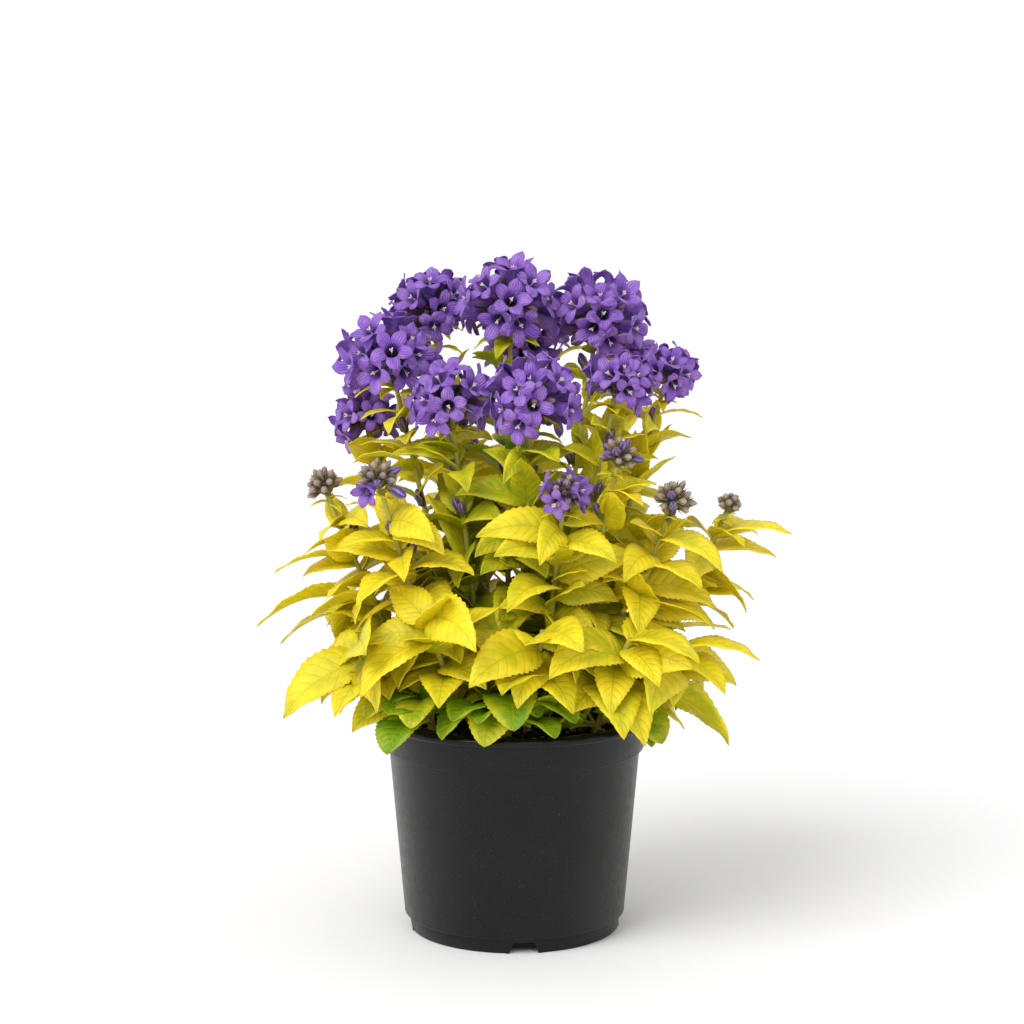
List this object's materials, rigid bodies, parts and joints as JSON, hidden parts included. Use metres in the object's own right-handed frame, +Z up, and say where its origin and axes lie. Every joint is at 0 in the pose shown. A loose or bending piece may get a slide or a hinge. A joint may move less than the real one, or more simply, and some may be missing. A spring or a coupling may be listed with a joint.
{
  "type": "potted adriatic bellflower",
  "caption": "Bellflower with clusters of violet bells on upright stems and golden toothed leaves, in a round black nursery pot.",
  "frame": {"origin": "middle of the pot's foot, on the surface that it stands on", "axes": "+Z up along the pot's axis, -Y towards the side that the picture shows"},
  "size_m": [0.2796, 0.2384, 0.3485],
  "materials": {
    "pot_plastic": "satin",
    "potting_soil": "rough",
    "green_leaf": "matte",
    "golden_leaf": "matte",
    "petal": "matte",
    "bud": "matte"
  },
  "bodies": {
    "root": {"pot": "pot_plastic", "soil": "potting_soil", "basal_leaves_1": "green_leaf", "basal_leaves_2": "green_leaf", "basal_leaves_3": "green_leaf", "basal_leaves_4": "green_leaf", "basal_leaves_5": "green_leaf", "leafy_stem_01": "golden_leaf", "flower_head_01": "petal", "leafy_stem_02": "golden_leaf", "flower_head_02": "petal", "leafy_stem_03": "golden_leaf", "flower_head_03": "petal", "leafy_stem_04": "golden_leaf", "flower_head_04": "petal", "leafy_stem_05": "golden_leaf", "flower_head_05": "petal", "leafy_stem_06": "golden_leaf", "flower_head_06": "petal", "leafy_stem_07": "golden_leaf", "flower_head_07": "petal", "leafy_stem_08": "golden_leaf", "flower_head_08": "petal", "leafy_stem_09": "golden_leaf", "flower_head_09": "petal", "leafy_stem_10": "golden_leaf", "flower_head_10": "petal", "leafy_stem_11": "golden_leaf", "flower_head_11": "petal", "leafy_stem_12": "golden_leaf", "flower_head_12": "petal", "leafy_stem_13": "golden_leaf", "flower_head_13": "petal", "leafy_stem_14": "golden_leaf", "bud_cluster_14": "bud", "leafy_stem_15": "golden_leaf", "bud_cluster_15": "bud", "leafy_stem_16": "golden_leaf", "bud_cluster_16": "bud", "leafy_stem_17": "golden_leaf", "bud_cluster_17": "bud", "leafy_stem_18": "golden_leaf", "bud_cluster_18": "bud", "leafy_stem_19": "golden_leaf", "leafy_stem_20": "golden_leaf", "leafy_stem_21": "golden_leaf", "leafy_stem_22": "golden_leaf", "leafy_stem_23": "golden_leaf", "leafy_stem_24": "golden_leaf", "leafy_stem_25": "golden_leaf"}
  },
  "joints": []
}
